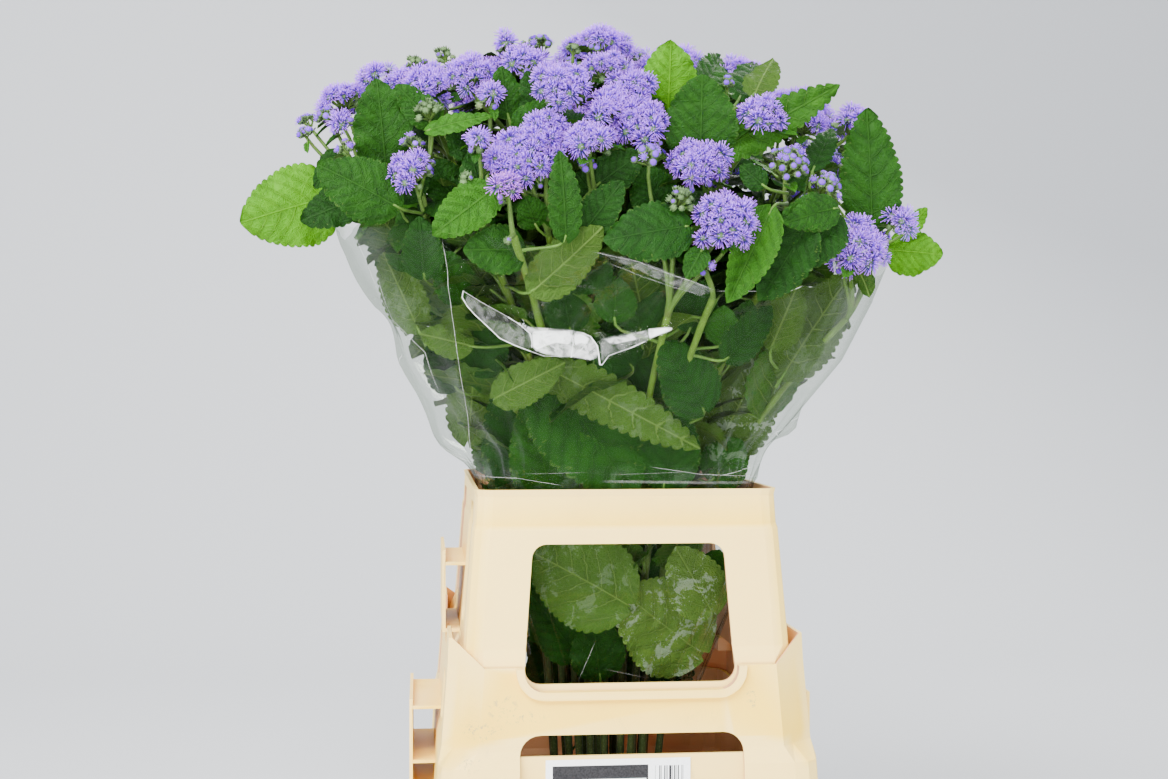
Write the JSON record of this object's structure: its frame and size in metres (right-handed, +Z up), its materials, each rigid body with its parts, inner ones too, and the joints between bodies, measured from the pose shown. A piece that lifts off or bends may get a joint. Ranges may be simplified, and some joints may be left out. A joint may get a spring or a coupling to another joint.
{
  "type": "ageratum bunch in a flower bucket",
  "caption": "Bunch of leafy ageratum stems with fluffy lavender flower clusters in a clear sleeve, standing in a rectangular bucket with stacked collars.",
  "frame": {"origin": "middle of the underside of the bucket", "axes": "+Z up, -Y towards the front short side with the label, +X to the right seen from the front"},
  "size_m": [0.5633, 0.4938, 0.781],
  "materials": {
    "crate": "satin moulded polypropylene, scuffed",
    "card": "matt printed card",
    "film": "clear creased film",
    "leaf": "matt, quilted between the veins",
    "flower": "soft threads"
  },
  "bodies": {
    "root": {"bucket": "crate", "lower_collar": "crate", "upper_collar": "crate", "label_card": "card", "sleeve": "film", "stem_01": "leaf", "stem_02": "leaf", "stem_03": "leaf", "stem_04": "leaf", "stem_05": "leaf", "stem_06": "leaf", "stem_07": "leaf", "stem_08": "leaf", "stem_09": "leaf", "stem_10": "leaf", "stem_11": "leaf", "stem_12": "leaf", "stem_13": "leaf", "stem_14": "leaf", "stem_15": "leaf", "stem_16": "leaf", "stem_17": "leaf", "stem_18": "leaf", "stem_19": "leaf", "stem_20": "leaf", "stem_21": "leaf", "stem_22": "leaf", "stem_23": "leaf", "stem_24": "leaf", "stem_25": "leaf", "stem_26": "leaf", "stem_27": "leaf", "flower_head_01": "flower", "flower_head_02": "flower", "flower_head_03": "flower", "flower_head_04": "flower", "flower_head_05": "flower", "flower_head_06": "flower", "flower_head_07": "flower", "flower_head_08": "flower", "flower_head_09": "flower", "flower_head_10": "flower", "flower_head_11": "flower", "flower_head_12": "flower", "flower_head_13": "flower", "flower_head_14": "flower", "flower_head_15": "flower", "flower_head_16": "flower", "flower_head_17": "flower", "flower_head_18": "flower", "flower_head_19": "flower", "flower_head_20": "flower", "flower_head_21": "flower", "flower_head_22": "flower", "flower_head_23": "flower", "flower_head_24": "flower", "flower_head_25": "flower", "flower_head_26": "flower", "flower_head_27": "flower"}
  },
  "joints": []
}
